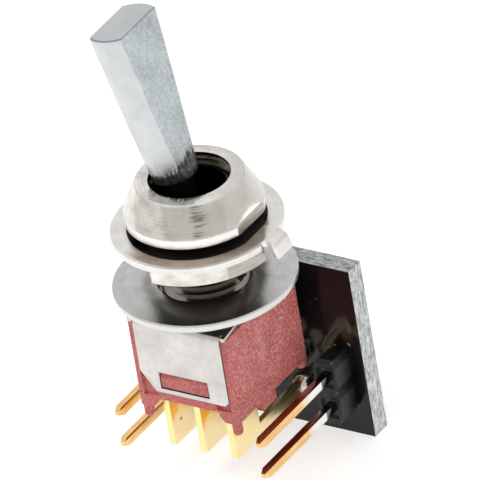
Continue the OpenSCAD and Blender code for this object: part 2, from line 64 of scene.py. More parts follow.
# The photo's camera, far away so that its view is nearly without perspective
VIEW_AZIMUTH = math.radians(37.29)
VIEW_ELEVATION = math.radians(32.39)
VIEW_ROLL = math.radians(-9.68)
VIEW_CENTRE = Vector((3.385, 0.0, 3.57)) * MM
VIEW_DISTANCE = 1370 * MM
FRAME_WIDTH = 32.98 * MM
SENSOR_WIDTH = 36.0


def lowest(node):
    """A CAD node's lowest corner, in millimetres."""
    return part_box(node)[0] / MM


def highest(node):
    """A CAD node's highest corner, in millimetres."""
    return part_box(node)[1] / MM


def centre(node):
    return (lowest(node) + highest(node)) / 2


# Where the lever turns and how it leans at rest: half-way through its swing it is upright
swing = next(joint for joint in frame["joints"] if joint["name"] == "lever_swing")
PIVOT = Vector(swing["pos_m"])
LEVER_ANGLE = -math.radians(swing["range_deg"][1]) / 2

# Places that the finishes and the bevels follow, in millimetres

# Half the lever's width over its flats, and how far from its middle there is only its ball
LEVER_HALF = 1.35
BALL_BEGINS = 1.9
# Along the lever from its pivot: the shoulder above its neck, and its end
LEVER_SHOULDER = 5.95
LEVER_END = 18.23
# The radius of the bushing's mouth
MOUTH_R = 2.5
# The dress nut's half width over its flats, its radius, its top, and the height of its cone's foot
NUT_HALF, NUT_R, NUT_TOP = highest("dress_nut")
NUT_CONE = 5.94
RING_TOP = highest("locking_ring").z
HOUSING_HALF = highest("housing").x
# The left blade's right face, as far from its middle as the centre blade's, and the punch mark on it
BLADE_FACE = centre("terminal_front_left").x + highest("terminal_front_centre").x
MARK_Y = -2.57
MARK_Z = -10.89
# The front faces of the board and the headers, the headers' distance to the side, and half a pocket's width
BOARD_FRONT = lowest("circuit_board").y
HEADER_FRONT = lowest("header_right").y
HEADER_X = centre("header_right").x
POCKET_HALF = 0.62


# ---- Node trees ----

class Tree:
    """Short names for the nodes that the materials below are made of."""

    def __init__(self, name):
        self.material = bpy.data.materials.new(name)
        self.material.use_nodes = True
        self.nodes = self.material.node_tree.nodes
        self.links = self.material.node_tree.links
        self.shader = self.nodes["Principled BSDF"]
        self.coords = self.nodes.new("ShaderNodeTexCoord").outputs["Object"]

    def feed(self, socket, value):
        """Links a node's output to the socket, or gives it a number, a grey or a colour."""
        if isinstance(value, bpy.types.NodeSocket):
            self.links.new(value, socket)
        elif socket.type != "RGBA":
            socket.default_value = value
        elif isinstance(value, (int, float)):
            socket.default_value = (value, value, value, 1)
        else:
            socket.default_value = (*value[:3], 1)

    def set(self, **values):
        for name, value in values.items():
            self.feed(self.shader.inputs[name.replace("_", " ")], value)

    def linked(self, name):
        """What already feeds one of the shader's inputs."""
        return self.shader.inputs[name].links[0].from_socket

    def stretched(self, sx, sy, sz, rotation=(0, 0, 0), space=None):
        mapping = self.nodes.new("ShaderNodeMapping")
        mapping.inputs["Scale"].default_value = (sx, sy, sz)
        mapping.inputs["Rotation"].default_value = rotation
        self.links.new(space or self.coords, mapping.inputs["Vector"])
        return mapping.outputs["Vector"]

    def noise(self, scale, detail=4.0, roughness=0.55, vector=None):
        node = self.nodes.new("ShaderNodeTexNoise")
        node.inputs["Scale"].default_value = scale
        node.inputs["Detail"].default_value = detail
        node.inputs["Roughness"].default_value = roughness
        self.links.new(vector or self.coords, node.inputs["Vector"])
        return node.outputs["Fac"]

    def ramp(self, value, *stops):
        node = self.nodes.new("ShaderNodeValToRGB")
        ramp = node.color_ramp
        while len(ramp.elements) < len(stops):
            ramp.elements.new(0.5)
        for element, (place, colour) in zip(ramp.elements, stops):
            element.position = place
            grey = isinstance(colour, (int, float))
            element.color = (colour, colour, colour, 1) if grey else (*colour, 1)
        self.links.new(value, node.inputs["Fac"])
        return node.outputs["Color"]

    def math(self, operation, a, b=0.0):
        node = self.nodes.new("ShaderNodeMath")
        node.operation = operation
        self.feed(node.inputs[0], a)
        self.feed(node.inputs[1], b)
        return node.outputs["Value"]

    def times(self, product, *factors):
        for factor in factors:
            product = self.math("MULTIPLY", product, factor)
        return product

    def plus(self, total, *terms):
        for term in terms:
            total = self.math("ADD", total, term)
        return total

    def minus(self, a, b):
        return self.math("SUBTRACT", a, b)

    def absolute(self, value):
        return self.math("ABSOLUTE", value)

    def clamped(self, value):
        return self.math("MINIMUM", self.math("MAXIMUM", value, 0.0), 1.0)

    def above(self, value, low, soft):
        """1 where value lies above low, 0 elsewhere, with a soft start."""
        return self.clamped(self.math("DIVIDE", self.minus(value, low), soft))

    def below(self, value, high, soft):
        """1 where value lies below high, 0 elsewhere, with a soft end."""
        return self.clamped(self.math("DIVIDE", self.minus(high, value), soft))

    def between(self, value, low, high, soft):
        """1 where value lies from low to high, 0 elsewhere, with soft ends."""
        return self.math("MINIMUM", self.above(value, low, soft), self.below(value, high, soft))

    def mix(self, factor, a, b):
        node = self.nodes.new("ShaderNodeMix")
        node.data_type = "RGBA"
        for index, value in ((0, factor), (6, a), (7, b)):
            self.feed(node.inputs[index], value)
        return node.outputs[2]

    def bump(self, height, strength, distance=0.00005, normal=None):
        node = self.nodes.new("ShaderNodeBump")
        node.inputs["Strength"].default_value = strength
        node.inputs["Distance"].default_value = distance
        self.links.new(height, node.inputs["Height"])
        if normal is not None:
            self.links.new(normal, node.inputs["Normal"])
        return node.outputs["Normal"]

    def place(self, axis, space=None):
        node = self.nodes.new("ShaderNodeSeparateXYZ")
        self.links.new(space or self.coords, node.inputs[0])
        return node.outputs[axis]

    def normal_axis(self, axis):
        return self.place(axis, self.nodes.new("ShaderNodeTexCoord").outputs["Normal"])

    def millimetres(self, axis, space=None):
        return self.times(self.place(axis, space), 1000)

    def radius(self):
        x, y = self.millimetres("X"), self.millimetres("Y")
        return self.math("SQRT", self.plus(self.times(x, x), self.times(y, y)))


# ---- Materials ----

def worn_metal(name, dark, light, rough, grain=(1, 1, 1), grain_scale=4000, bump=0.1):
    """Plated or bare metal: cloudy patches, and a grain that may run one way and that sets the roughness."""
    tree = Tree(name)
    cloud = tree.noise(700, 3)
    fine = tree.noise(grain_scale, 5, 0.6, tree.stretched(*grain))
    tree.set(
        Metallic=1.0,
        Base_Color=tree.ramp(tree.mix(0.5, fine, cloud), (0.35, dark), (0.65, light)),
        Roughness=tree.ramp(fine, (0.3, rough[0]), (0.7, rough[1])),
        Normal=tree.bump(fine, bump),
    )
    return tree.material


def turned_metal(name, dark, light, rough, lines, bump, extra, top=None):
    """Metal off a lathe: fine lines run round the axis, so they vary with height and radius alone.

    extra repaints parts of the colour, and top gives the faces that look up a roughness of their own.
    """
    tree = Tree(name)
    radius, height = tree.radius(), tree.millimetres("Z")
    join = tree.nodes.new("ShaderNodeCombineXYZ")
    tree.links.new(radius, join.inputs["X"])
    tree.links.new(height, join.inputs["Z"])
    rings = tree.noise(lines, 5, 0.75, join.outputs["Vector"])
    cloud = tree.noise(900, 3)
    patchy = tree.noise(1400, 4, 0.7, tree.stretched(1, 1, 3))
    mottle = tree.mix(0.35, tree.mix(patchy, rings, 0.5), cloud)
    roughness = tree.ramp(rings, (0.35, rough[0]), (0.65, rough[1]))
    looks_up = tree.ramp(tree.normal_axis("Z"), (0.93, 0.0), (0.98, 1.0))
    if top:
        roughness = tree.mix(looks_up, roughness, top)
    side = tree.times(rings, tree.minus(1.0, looks_up))
    tree.set(
        Metallic=1.0,
        Base_Color=extra(tree, tree.ramp(mottle, (0.43, dark), (0.57, light)), radius, height),
        Roughness=roughness,
        Normal=tree.bump(side, bump, 0.00002),
    )
    return tree


def nut_extra(tree, colour, radius, height):
    """Repaints the nuts.

    The dress nut's cone has painted shade that makes it greyer at the front, an even grey of painted reflection on
    its right, and two dark streaks of turning lines that are painted reflections. Its lip has a painted highlight,
    and its wrench flats are dull under a bright crescent that is a painted highlight. The back nut is as dull
    beyond the same width. The threads and the undersides of both nuts are dark with painted shade.
    """
    # Measured sideways, as seen from the front right
    x, y = tree.millimetres("X"), tree.millimetres("Y")
    across = tree.plus(tree.times(x, 0.86), tree.times(y, 0.51))
    # Painted reflection: the cone's right side, as seen from the front right, is an even grey
    plain = tree.times(tree.above(across, 1.6, 1.2), 0.75)
    colour = tree.mix(plain, colour, (0.60, 0.585, 0.55))
    on_cone = tree.between(height, NUT_CONE + 0.06, NUT_TOP - 0.08, 0.1)
    front_cone = tree.times(tree.below(y, -1.0, 1.0), on_cone)
    # Painted shade: the front of the cone is greyer
    greyer = tree.times(tree.between(across, -2.0, 2.6, 0.3), front_cone, 0.6)
    colour = tree.mix(greyer, colour, (0.44, 0.425, 0.385))

    # Painted reflection: two streaks where the turning lines on the front of the cone show dark
    lines = tree.noise(7000, 3, 0.7, tree.stretched(0.06, 0.06, 1))
    ends = tree.noise(900, 2, 0.6, tree.stretched(1, 1, 9))
    ragged = tree.plus(across, tree.times(ends, 1.4))
    main = tree.between(ragged, 0.65, 1.85, 0.4)
    second = tree.times(tree.between(ragged, -1.3, -0.8, 0.4), 0.35)
    streaks = tree.times(tree.math("MAXIMUM", main, second), tree.ramp(lines, (0.46, 0.12), (0.55, 0.85)))
    colour = tree.mix(tree.times(streaks, front_cone), colour, (0.16, 0.14, 0.115))

    flat = tree.above(tree.absolute(x), NUT_HALF - 0.01, 0.01)
    flat_colour = tree.ramp(lines, (0.4, (0.36, 0.33, 0.29)), (0.6, (0.50, 0.46, 0.41)))
    colour = tree.mix(flat, colour, flat_colour)
    # Painted highlight: a bright crescent above each wrench flat
    crescent = tree.times(flat, tree.above(height, NUT_CONE + 0.11, 0.08))
    colour = tree.mix(crescent, colour, (0.90, 0.88, 0.84))
    # Painted highlight: a bright band on the lip
    lip = tree.between(height, NUT_CONE - 0.52, NUT_CONE + 0.02, 0.06)
    colour = tree.mix(tree.times(lip, tree.minus(1.0, flat), 0.75), colour, (0.88, 0.865, 0.83))

    # Painted shade: the threads inside the nuts are dark
    thread = tree.times(tree.below(radius, 3.35, 0.1), tree.below(height, NUT_TOP - 0.06, 0.04))
    dim = tree.ramp(tree.noise(900, 3), (0.4, (0.10, 0.085, 0.07)), (0.6, (0.26, 0.23, 0.19)))
    colour = tree.mix(thread, colour, dim)
    # Painted shade: faces that look down are nearly black
    underside = tree.below(tree.normal_axis("Z"), -0.6, 0.1)
    return tree.mix(underside, colour, (0.03, 0.026, 0.022))


def bushing_extra(tree, colour, radius, height):
    """The bore is dark with painted shade, the thread between the nuts is nearly black with painted shade, and the
    lower thread is dull with painted shade.
    """
    # Painted shade: the thread in the gap between the nuts is nearly black
    gap_shade = tree.times(tree.between(height, RING_TOP - 0.11, 5.6, 0.2), 0.92)
    colour = tree.mix(gap_shade, colour, (0.035, 0.03, 0.026))
    # Painted shade: the thread below the back nut is dull
    dull = tree.times(tree.below(height, 2.8, 0.2), 0.6)
    colour = tree.mix(dull, colour, (0.10, 0.085, 0.07))
    # Painted shade: the bore is nearly black
    bore = tree.below(radius, MOUTH_R + 0.06, 0.03)
    return tree.mix(bore, colour, (0.012, 0.011, 0.010))


def nut_reflection_mask(tree, radius, height):
    """Where the ring's top is painted tan with the dress nut's reflection and shade: outside the nut, towards the
    front right.
    """
    x, y = tree.millimetres("X"), tree.millimetres("Y")
    forward = tree.minus(tree.times(x, 0.75), tree.times(y, 0.66))
    right = tree.plus(tree.times(x, 0.847), tree.times(y, 0.532))
    top = tree.above(height, RING_TOP - 0.05, 0.03)
    near = tree.times(tree.below(radius, 5.86, 0.12), tree.above(forward, 1.0, 1.5))
    return tree.times(top, near, tree.below(right, 4.8, 0.15))


def ring_extra(tree, colour, radius, height):
    """The ring's top is painted black with shade in the gap under the dress nut, and painted tan with the nut's
    reflection just outside it.
    """
    # Painted reflection and shade of the dress nut: tan just outside it
    shade = tree.ramp(tree.noise(500, 3), (0.4, (0.36, 0.29, 0.235)), (0.6, (0.50, 0.42, 0.35)))
    colour = tree.mix(nut_reflection_mask(tree, radius, height), colour, shade)
    # Painted shade: nearly black on the ring's top in the gap under the dress nut
    off_middle = tree.absolute(tree.millimetres("X"))
    under = tree.times(tree.below(radius, NUT_R + 0.02, 0.06), tree.below(off_middle, NUT_HALF + 0.17, 0.06))
    gap_shade = tree.times(tree.above(height, RING_TOP - 0.05, 0.03), under)
    return tree.mix(gap_shade, colour, (0.012, 0.010, 0.009))


def ring_material():
    """Polished plating that is dull where the dress nut's reflection is painted in tan."""
    tree = turned_metal("ring_plating", (0.68, 0.66, 0.63), (0.78, 0.765, 0.74), (0.16, 0.3),
                        3.0, 0.05, ring_extra, 0.3)
    mask = nut_reflection_mask(tree, tree.radius(), tree.millimetres("Z"))
    tree.set(
        Metallic=tree.minus(1.0, tree.times(mask, 0.75)),
        Roughness=tree.mix(mask, tree.linked("Roughness"), 0.6),
    )
    return tree.material


def washer_extra(tree, colour, radius, height):
    """The washer is dull brown where the nut above it keeps the light off, and its edge is bright with a painted
    highlight.
    """
    near = tree.times(tree.between(radius, 3.44, 4.7, 0.8), 0.8)
    shade = tree.ramp(tree.noise(420, 3), (0.4, (0.24, 0.21, 0.17)), (0.6, (0.38, 0.345, 0.295)))
    colour = tree.mix(near, colour, shade)
    # Painted highlight: the washer's edge is bright
    rim = tree.below(height, -0.06, 0.03)
    return tree.mix(rim, colour, (0.66, 0.655, 0.635))


def lever_material():
    """Satin plating. The flats are finely pitted, and the lever's foot is worn dark in streaks."""
    tree = Tree("lever_plating")
    turn = tree.nodes.new("ShaderNodeMapping")
    turn.vector_type = "TEXTURE"
    turn.inputs["Location"].default_value = PIVOT
    turn.inputs["Rotation"].default_value = (0, LEVER_ANGLE, 0)
    tree.links.new(tree.coords, turn.inputs["Vector"])
    own = turn.outputs["Vector"]
    side = tree.absolute(tree.millimetres("X", own))
    across = tree.millimetres("Y", own)
    height = tree.millimetres("Z", own)
    on_flat = tree.between(side, LEVER_HALF - 0.03, BALL_BEGINS, 0.02)

    cloud = tree.noise(420, 5, 0.6)
    pits = tree.noise(5200, 5, 0.8)
    worms = tree.absolute(tree.minus(tree.noise(1900, 3, 0.6), 0.5))
    scratch = tree.noise(4200, 4, 0.7, tree.stretched(1, 1, 0.25, (0.6, 0, 0), own))
    smooth = tree.ramp(cloud, (0.35, (0.52, 0.535, 0.545)), (0.65, (0.62, 0.635, 0.64)))
    pitted = tree.ramp(tree.mix(0.4, pits, cloud),
                       (0.36, (0.33, 0.37, 0.38)), (0.5, (0.47, 0.515, 0.525)), (0.64, (0.62, 0.665, 0.67)))
    pitted = tree.mix(tree.ramp(worms, (0.0, 0.55), (0.03, 0.0)), pitted, (0.72, 0.76, 0.77))
    colour = tree.mix(on_flat, smooth, pitted)

    # Scratches on the flats, more of them lower down
    often = tree.plus(tree.times(tree.between(height, 0.0, 9.0, 3.0), 0.75), 0.15)
    marks = tree.times(tree.ramp(scratch, (0.56, 0.0), (0.64, 1.0)), often, on_flat)
    colour = tree.mix(marks, colour, (0.09, 0.10, 0.105))

    # The worn foot ends raggedly, a little higher on the flats and in their middle
    lift = tree.times(tree.between(across, -2.4, 3.0, 2.6), 0.55)
    wear_end = tree.plus(lift, tree.times(scratch, 1.6), tree.times(on_flat, 0.35))
    worn = tree.times(tree.below(tree.minus(height, wear_end), 6.0, 0.28), 0.93)
    brown = tree.ramp(tree.noise(2200, 3), (0.4, (0.022, 0.021, 0.02)), (0.6, (0.17, 0.16, 0.14)))
    colour = tree.mix(worn, colour, brown)
    # Painted shade: a dark band just above the shoulder, and nearly black on the neck below it
    rim = tree.times(tree.below(height, LEVER_SHOULDER + 0.19, 0.12), 0.85)
    colour = tree.mix(rim, colour, (0.028, 0.026, 0.024))
    beside = tree.times(tree.between(side, 0.35, BALL_BEGINS, 0.5), tree.below(height, 7.9, 1.0))
    scored = tree.times(beside, tree.ramp(scratch, (0.44, 0.0), (0.53, 0.9)))
    colour = tree.mix(scored, colour, (0.06, 0.06, 0.058))
    hidden = tree.below(height, LEVER_SHOULDER + 0.02, 0.02)
    colour = tree.mix(hidden, colour, (0.02, 0.019, 0.018))

    end = tree.above(height, LEVER_END - 0.04, 0.02)
    end_colour = tree.ramp(cloud, (0.35, (0.50, 0.535, 0.55)), (0.65, (0.57, 0.60, 0.61)))
    colour = tree.mix(end, colour, end_colour)
    end_edge = tree.between(height, LEVER_END - 0.15, LEVER_END - 0.03, 0.03)
    tree.set(
        Metallic=0.8,
        Base_Color=tree.mix(end_edge, colour, (0.26, 0.27, 0.28)),
        Roughness=tree.ramp(on_flat, (0.0, 0.38), (1.0, 0.45)),
        Normal=tree.bump(tree.mix(on_flat, cloud, tree.mix(0.5, pits, scratch)), 0.25, 0.00004),
    )
    return tree.material


def plastic(name, dark, light, rough, scale=2500, bump=0.15, speck=None):
    """Moulded plastic or rubber with a fine grain. speck is the colour of a few paler dots."""
    tree = Tree(name)
    cloud = tree.noise(650, 4, 0.6)
    grain = tree.noise(scale, 5, 0.65)
    colour = tree.ramp(tree.mix(0.5, cloud, grain), (0.38, dark), (0.62, light))
    if speck:
        dots = tree.ramp(tree.noise(6500, 2, 0.6), (0.66, 0.0), (0.74, 0.6))
        colour = tree.mix(dots, colour, speck)
    tree.set(
        Base_Color=colour,
        Roughness=tree.ramp(grain, (0.3, rough[0]), (0.7, rough[1])),
        Normal=tree.bump(grain, bump),
    )
    return tree


def red_material():
    """Red thermoset with pale fibres and dark pores, deeper in front with painted shade, and a pale smear of
    painted highlight on its right side.
    """
    tree = Tree("red_thermoset_body")
    cloud = tree.noise(260, 4, 0.65)
    grain = tree.noise(4200, 4, 0.7)
    colour = tree.ramp(tree.mix(0.5, cloud, grain),
                       (0.38, (0.34, 0.055, 0.052)), (0.5, (0.50, 0.112, 0.104)), (0.64, (0.64, 0.22, 0.20)))
    fibre = tree.noise(8200, 3, 0.6, tree.stretched(1, 0.6, 1, (0.5, 0.3, 0.8)))
    colour = tree.mix(tree.ramp(fibre, (0.52, 0.0), (0.64, 0.65)), colour, (0.76, 0.41, 0.375))
    pores = tree.ramp(tree.noise(6000, 2), (0.36, 0.75), (0.44, 0.0))
    colour = tree.mix(pores, colour, (0.22, 0.040, 0.038))
    # Painted shade: faces that look to the front are deeper red
    front = tree.times(tree.below(tree.normal_axis("Y"), -0.7, 0.1), 0.5)
    colour = tree.mix(front, colour, (0.33, 0.062, 0.056))

    # The painted highlight, a pale smear, runs up the middle of the right side
    right = tree.above(tree.millimetres("X"), HOUSING_HALF - 0.1, 0.05)
    wander = tree.times(tree.minus(cloud, 0.5), 3.0)
    along = tree.between(tree.plus(tree.millimetres("Y"), wander), -1.0, -0.1, 0.55)
    up = tree.between(tree.millimetres("Z"), -6.7, -3.0, 1.0)
    tree.set(
        Base_Color=tree.mix(tree.times(along, up, right, 0.5), colour, (0.66, 0.34, 0.33)),
        Roughness=tree.ramp(grain, (0.3, 0.42), (0.7, 0.62)),
        Normal=tree.bump(cloud, 0.25, 0.0002, tree.bump(grain, 0.25, 0.00003)),
    )
    return tree.material


def board_material():
    """Glossy solder mask over faint tracks, with a scratch, a stain and dust; glass cloth at the edges."""
    tree = Tree("board_mask")
    x, z = tree.millimetres("X"), tree.millimetres("Z")
    front = tree.below(tree.millimetres("Y"), BOARD_FRONT + 0.65, 0.1)
    face = tree.ramp(tree.noise(160, 3), (0.42, (0.004, 0.0035, 0.0035)), (0.62, (0.011, 0.008, 0.008)))
    track = tree.noise(230, 2, 0.4, tree.stretched(1, 1, 0.5, (0, 0.6, 0)))
    tracks = tree.times(tree.between(z, -12.5, -5.6, 1.0), tree.ramp(track, (0.58, 0.0), (0.62, 0.6)))
    face = tree.mix(tracks, face, (0.055, 0.036, 0.022))

    # The scratch rises to the right above the right header, and the stain is beside its end
    along = tree.plus(tree.times(x, 0.636), tree.times(z, 0.772))
    across = tree.minus(tree.times(x, 0.772), tree.times(z, 0.636))
    wander = tree.times(tree.minus(tree.noise(900, 3), 0.5), 0.5)
    scratch = tree.between(tree.plus(across, wander), 8.76, 8.88, 0.04)
    scratch = tree.times(scratch, front, tree.between(along, -3.95, -1.3, 0.3), 0.8)
    face = tree.mix(scratch, face, (0.12, 0.10, 0.085))
    stain = tree.times(tree.between(x, 5.9, 7.2, 0.4), front, tree.between(z, -8.0, -6.5, 0.5), 0.6)
    face = tree.mix(stain, face, (0.045, 0.028, 0.018))
    dust = tree.ramp(tree.noise(1900, 1, 0.5), (0.775, 0.0), (0.79, 1.0))
    face = tree.mix(dust, face, (0.30, 0.25, 0.20))

    weave = tree.noise(3600, 5, 0.75, tree.stretched(1, 1, 0.7))
    layers = tree.noise(2600, 4, 0.65, tree.stretched(0.35, 1.6, 0.35))
    cloth = tree.ramp(tree.mix(0.5, weave, layers),
                      (0.38, (0.17, 0.185, 0.18)), (0.48, (0.46, 0.485, 0.475)), (0.60, (0.78, 0.80, 0.79)))
    is_edge = tree.ramp(tree.absolute(tree.normal_axis("Y")), (0.45, 1.0), (0.6, 0.0))
    tree.set(
        Base_Color=tree.mix(is_edge, face, cloth),
        Roughness=tree.ramp(is_edge, (0.0, 0.16), (1.0, 0.75)),
        Specular_IOR_Level=0.34,
        Normal=tree.bump(tree.mix(is_edge, 0.5, weave), 0.15),
    )
    return tree.material


def header_material():
    """Black moulded nylon with a fine grain, with painted light that makes it a little paler in the pockets round
    the pins.
    """
    tree = plastic("header_nylon", (0.004, 0.0045, 0.005), (0.011, 0.013, 0.015), (0.34, 0.5),
                   3000, 0.3, (0.05, 0.055, 0.06))
    x = tree.minus(tree.absolute(tree.millimetres("X")), HEADER_X)
    y = tree.millimetres("Y")
    reach = POCKET_HALF + 0.01
    # Painted light: the pockets round the pins are a little paler
    pocket = tree.times(
        tree.between(x, -reach, reach, 0.01),
        tree.between(y, HEADER_FRONT + 0.03, HEADER_FRONT + 0.45, 0.02),
    )
    tree.set(
        Specular_IOR_Level=0.36,
        Base_Color=tree.mix(pocket, tree.linked("Base Color"), (0.06, 0.063, 0.063)),
    )
    return tree.material


def strap_material():
    """Bright rolled strip, softly mottled and dented, with painted shade on the top that the washer covers."""
    tree = Tree("strap_strip")
    lines = tree.noise(2600, 3, 0.6, tree.stretched(0.1, 1, 1))
    cloud = tree.noise(380, 5, 0.65)
    fine = tree.noise(3200, 4, 0.7)
    mottle = tree.mix(0.35, cloud, tree.mix(0.7, lines, fine))
    colour = tree.ramp(mottle, (0.40, (0.53, 0.51, 0.485)), (0.60, (0.70, 0.68, 0.655)))
    # Painted shade: the top that the washer covers is nearly black
    covered = tree.times(tree.above(tree.normal_axis("Z"), 0.85, 0.05), 0.9)
    tree.set(
        Metallic=0.8,
        Base_Color=tree.mix(covered, colour, (0.03, 0.03, 0.03)),
        Roughness=tree.ramp(fine, (0.3, 0.30), (0.7, 0.45)),
        Normal=tree.bump(tree.noise(1100, 3, 0.5), 0.12, 0.00008, tree.bump(fine, 0.10, 0.00002)),
    )
    return tree.material


def gold_material(name, pale, deep, rough, repaint):
    """Gold plating drawn out along Y. repaint turns parts of the colour."""
    tree = Tree(name)
    lines = tree.noise(2600, 4, 0.6, tree.stretched(1, 0.12, 1))
    cloud = tree.noise(500, 3)
    colour = tree.ramp(tree.mix(0.5, lines, cloud), (0.38, deep), (0.62, pale))
    tree.set(
        Metallic=1.0,
        Base_Color=repaint(tree, colour, cloud),
        Roughness=tree.ramp(lines, (0.3, rough), (0.7, rough + 0.12)),
        Normal=tree.bump(lines, 0.1),
    )
    return tree.material


def repaint_blades(tree, colour, cloud):
    """Painted shade and reflection make the blades' sides under the housing deeper gold, painted light makes their
    front ends yellower, and there is a mark on the left one.
    """
    y, z = tree.millimetres("Y"), tree.millimetres("Z")
    # Painted shade and reflection: deep orange on the blades' sides under the housing
    wander = tree.times(tree.minus(cloud, 0.5), 1.2)
    leaning = tree.plus(tree.minus(z, tree.times(y, 0.95)), wander)
    sideways = tree.above(tree.absolute(tree.normal_axis("X")), 0.6, 0.1)
    colour = tree.mix(tree.times(tree.above(leaning, -7.5, 0.7), sideways), colour, (0.95, 0.52, 0.12))
    # Painted light: the blades' front ends are yellower
    ends = tree.times(tree.below(tree.normal_axis("Y"), -0.7, 0.1), 0.7)
    colour = tree.mix(ends, colour, (1.0, 0.74, 0.30))

    # The punch mark is a little wider than it is high
    dy = tree.minus(y, MARK_Y)
    dz = tree.times(tree.minus(z, MARK_Z), 1.5)
    off = tree.math("SQRT", tree.plus(tree.times(dy, dy), tree.times(dz, dz)))
    left = tree.between(tree.millimetres("X"), BLADE_FACE - 0.1, BLADE_FACE + 0.1, 0.02)
    return tree.mix(tree.times(tree.below(off, 0.2, 0.06), left), colour, (0.42, 0.27, 0.10))


def repaint_pins(tree, colour, cloud):
    """The right pins are pale near their header, dim at the root with painted shade and a painted reflection of
    the header, and dark red-brown on top.

    The left pins have a dark line along the top.
    """
    x, y = tree.millimetres("X"), tree.millimetres("Y")
    right = tree.above(x, 0.0, 0.1)
    wander = tree.times(tree.minus(cloud, 0.5), 3.0)
    near = tree.times(right, tree.between(tree.plus(y, wander), 0.4, 6.0, 1.0))
    colour = tree.mix(near, colour, (0.86, 0.84, 0.80))
    # Painted shade and a painted reflection of the dark header dim the pins' root
    root = tree.times(right, tree.between(y, HEADER_FRONT - 1.0, 5.0, 0.1))
    colour = tree.mix(root, colour, (0.16, 0.17, 0.175))

    # Dark red-brown on the right pins' top faces, less of it near the header
    upper = tree.above(tree.normal_axis("Z"), 0.8, 0.1)
    dark = tree.ramp(tree.noise(900, 3, 0.6, tree.stretched(2.5, 0.15, 1)),
                     (0.4, (0.10, 0.022, 0.012)), (0.6, (0.40, 0.13, 0.06)))
    dark_top = tree.times(upper, right, 0.9, tree.minus(1.0, tree.times(near, 0.6)))
    colour = tree.mix(dark_top, colour, dark)
    line = tree.times(upper, tree.between(x, 0.14 - HEADER_X, 0.28 - HEADER_X, 0.04))
    return tree.mix(line, colour, (0.04, 0.015, 0.01))


MATERIALS = {
    "satin_nickel": lever_material(),
    "pin_steel": worn_metal("pin_steel_ground", (0.40, 0.40, 0.39), (0.62, 0.62, 0.60), (0.25, 0.4)),
    "seal_rubber": plastic("seal_rubber_ring", (0.012, 0.012, 0.012), (0.03, 0.03, 0.03),
                           (0.5, 0.7)).material,
    "bushing_nickel": turned_metal("bushing_plating", (0.36, 0.33, 0.29), (0.55, 0.52, 0.47), (0.14, 0.28),
                                   3.0, 0.05, bushing_extra).material,
    "turned_nickel": turned_metal("nut_plating", (0.54, 0.515, 0.47), (0.82, 0.80, 0.76), (0.20, 0.36),
                                  9.0, 0.30, nut_extra, 0.07).material,
    "polished_nickel": ring_material(),
    "washer_steel": turned_metal("washer_plate", (0.46, 0.465, 0.465), (0.56, 0.565, 0.56), (0.25, 0.4),
                                 5.0, 0.05, washer_extra, 0.27).material,
    "strap_steel": strap_material(),
    "red_thermoset": red_material(),
    "white_nylon": plastic("nylon", (0.70, 0.68, 0.62), (0.82, 0.80, 0.75), (0.35, 0.5)).material,
    "spring_wire": worn_metal("music_wire", (0.35, 0.35, 0.35), (0.6, 0.6, 0.6), (0.2, 0.35)),
    "contact_silver": worn_metal("contact_strip", (0.60, 0.57, 0.50), (0.82, 0.80, 0.74), (0.15, 0.3),
                                 (0.2, 1, 1)),
    "gold_terminal": gold_material("gold_blades", (1.0, 0.85, 0.50), (1.0, 0.80, 0.42), 0.24,
                                   repaint_blades),
    "gold_pin": gold_material("gold_pins", (0.93, 0.62, 0.30), (0.76, 0.42, 0.15), 0.12, repaint_pins),
    "black_board": board_material(),
    "black_header": header_material(),
    "solder": worn_metal("solder_fillets", (0.45, 0.44, 0.42), (0.72, 0.71, 0.68), (0.12, 0.26),
                         grain_scale=1500, bump=0.15),
}
SLOTS = {part["node"]: part["material_slot"] for part in frame["record"]["subparts"]}


# ---- Pieces ----

BODY_OF = {node: body for body, nodes in frame["record"]["behaviour"]["bodies"].items() for node in nodes}

# A narrow bevel's share of a broad one
NARROW = 0.3

# For each node shown with rounded edges, the bevel's width in millimetres and the least angle of an edge
# that gets it
EDGES = {
    "lever": (0.07, 25), "dress_nut": (0.05, 14), "locking_ring": (0.05, 30), "back_nut": (0.05, 20),
    "flat_washer": (0.03, 30), "frame_strap": (0.05, 32), "housing": (0.05, 32),
    "circuit_board": (0.03, 40), "header_left": (0.05, 32), "header_right": (0.05, 32),
}
for node in SLOTS:
    if node.startswith("terminal"):
        EDGES[node] = (0.04, 32)
    elif node.startswith("header_pin"):
        EDGES[node] = (0.04, 25)


def link(obj):
    bpy.context.scene.collection.objects.link(obj)
    return obj


def dress(obj, node):
    """Gives the object the finish of the node's slot."""
    obj.data.materials.clear()
    obj.data.materials.append(MATERIALS[SLOTS[node]])


def round_wrench_flat(edge):
    """The dress nut's edges between a wrench flat and the cone."""
    middle = (edge.verts[0].co + edge.verts[1].co) / 2
    return abs(abs(middle.x) - NUT_HALF * MM) < 0.02 * MM and middle.z > (NUT_CONE - 0.04) * MM


